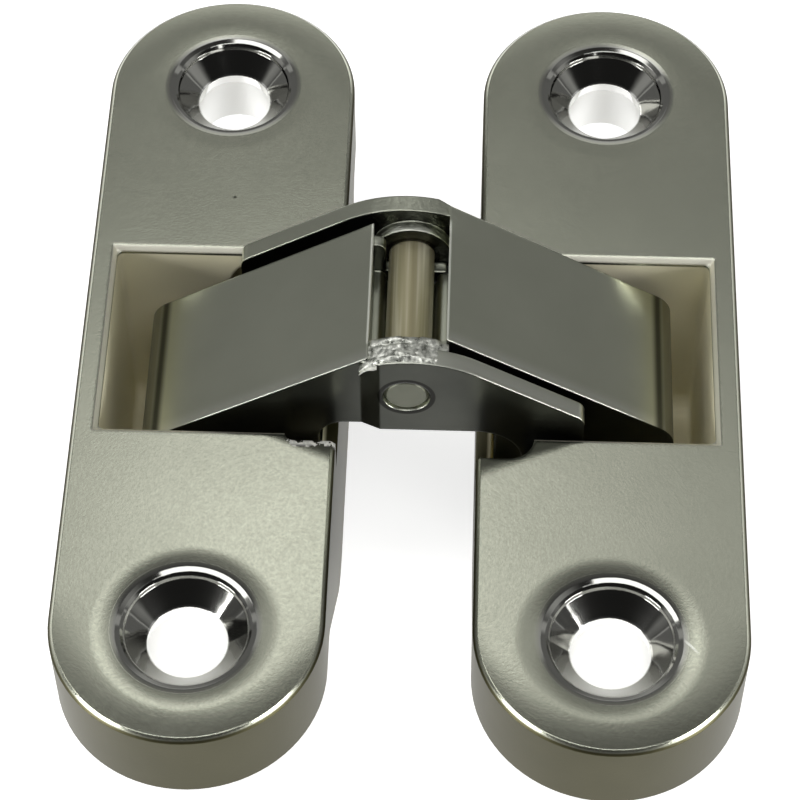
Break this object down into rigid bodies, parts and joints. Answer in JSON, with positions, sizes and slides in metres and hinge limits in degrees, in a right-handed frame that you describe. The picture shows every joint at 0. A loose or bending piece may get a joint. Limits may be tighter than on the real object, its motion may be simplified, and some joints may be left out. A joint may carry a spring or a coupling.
{
  "type": "concealed furniture hinge",
  "caption": "Concealed hinge with two round-ended leaves, deep mortise boxes and crossed folding arms on a centre pin, shown fully open.",
  "frame": {"origin": "middle of the hinge's footprint, at the backs of the deep boxes", "axes": "+X across the hinge from the left leaf to the right leaf, +Y along the leaves, +Z out of the faces"},
  "size_m": [0.043, 0.06, 0.024],
  "materials": {
    "leaf_casting": "satin nickel plate on a zinc die casting",
    "arm_casting": "satin nickel plate, smoother than the leaves",
    "pin_steel": "drawn steel with a yellowish tint",
    "bush_nylon": "dark nylon"
  },
  "bodies": {
    "leaf_left": {"leaf_left": "leaf_casting", "pivot_pin_left": "pin_steel"},
    "arm_left": {"arm_left": "arm_casting", "centre_pin": "pin_steel", "slider_pin_left_arm": "pin_steel", "slide_bush_left_arm": "bush_nylon"},
    "arm_right": {"arm_right": "arm_casting", "slider_pin_right_arm": "pin_steel", "slide_bush_right_arm": "bush_nylon"},
    "leaf_right": {"leaf_right": "leaf_casting", "pivot_pin_right": "pin_steel"}
  },
  "joints": [
    {"name": "left_pivot", "type": "hinge", "parent": "leaf_left", "child": "arm_left", "pos_m": [-0.0077, 0, 0.0082], "axis": [0, -1, 0], "range_deg": [0, 66.12]},
    {"name": "centre_pivot", "type": "hinge", "parent": "arm_left", "child": "arm_right", "pos_m": [0, 0, 0.02045], "axis": [0, -1, 0], "range_deg": [0, 47.76]},
    {"name": "right_pivot", "type": "hinge", "parent": "arm_right", "child": "leaf_right", "pos_m": [0.0077, 0, 0.0082], "axis": [0, -1, 0], "range_deg": [0, 66.12]}
  ],
  "couplings": [
    {"joint": "centre_pivot", "follows": "left_pivot", "ratio": 0.72235},
    {"joint": "right_pivot", "follows": "left_pivot", "ratio": 1}
  ]
}
